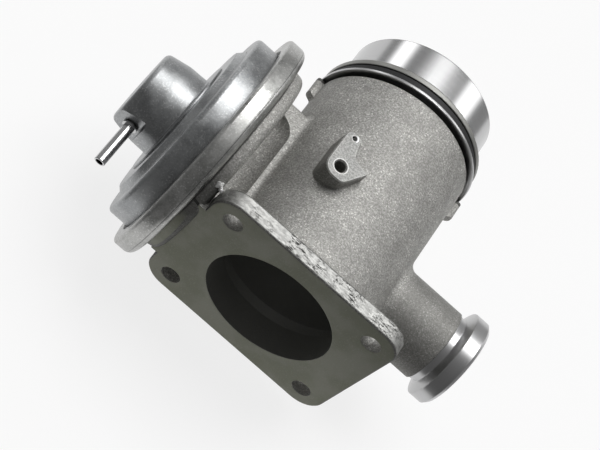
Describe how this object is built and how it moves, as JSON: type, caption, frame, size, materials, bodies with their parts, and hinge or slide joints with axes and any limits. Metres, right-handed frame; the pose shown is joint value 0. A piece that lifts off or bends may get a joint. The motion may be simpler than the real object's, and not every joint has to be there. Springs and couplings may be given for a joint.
{
  "type": "exhaust gas recirculation valve",
  "caption": "Cast duct housing with a manifold flange, a hose spigot and an exhaust-gas inlet, whose poppet is lifted by a vacuum diaphragm against a spring.",
  "frame": {"origin": "centre of the outlet bore on the manifold flange's face", "axes": "+Y along the duct from the manifold flange to the hose spigot, +X along the valve's stem from the vacuum can to the exhaust-gas inlet, +Z to the bracket boss"},
  "size_m": [0.1734, 0.1463, 0.1084],
  "materials": {
    "cast_aluminium": "sand-grained die casting with machined faces",
    "spring_steel": "bright rolled ring",
    "black_rubber": "moulded, satin",
    "stainless_steel": "turned",
    "sintered_bush": "sintered, dull",
    "graphite": "pressed graphite, dull",
    "gasket_board": "fibre board",
    "plated_steel": "satin zinc plate, pressed",
    "screw_steel": "zinc plate",
    "diaphragm_rubber": "fabric-backed, matte",
    "spring_wire": "drawn wire",
    "moulded_plastic": "glass-filled, matte"
  },
  "bodies": {
    "housing": {"valve_body": "cast_aluminium", "clip_ring": "spring_steel", "hose_seal": "black_rubber", "valve_seat": "stainless_steel", "guide_bush": "sintered_bush", "soot_shield": "stainless_steel", "stem_seal": "graphite", "seal_retainer": "stainless_steel", "base_gasket": "gasket_board", "actuator_base": "plated_steel", "base_screws": "screw_steel", "crimp_ring": "plated_steel", "upper_cover": "plated_steel", "spring_tower": "plated_steel", "vacuum_nipple": "plated_steel", "diaphragm": "diaphragm_rubber", "spring_seat": "moulded_plastic", "return_spring": "spring_wire"},
    "valve": {"poppet_valve": "stainless_steel", "shoulder_washer": "screw_steel", "lower_plate": "plated_steel", "piston_cup": "moulded_plastic", "stem_nut": "screw_steel"}
  },
  "joints": [
    {"name": "valve_lift", "type": "slide", "parent": "housing", "child": "valve", "axis": [-1, 0, 0], "range_m": [0, 0.0075], "stiffness_N_per_m": 4000, "springref_m": -0.01, "deforming": ["return_spring", "diaphragm"]}
  ]
}
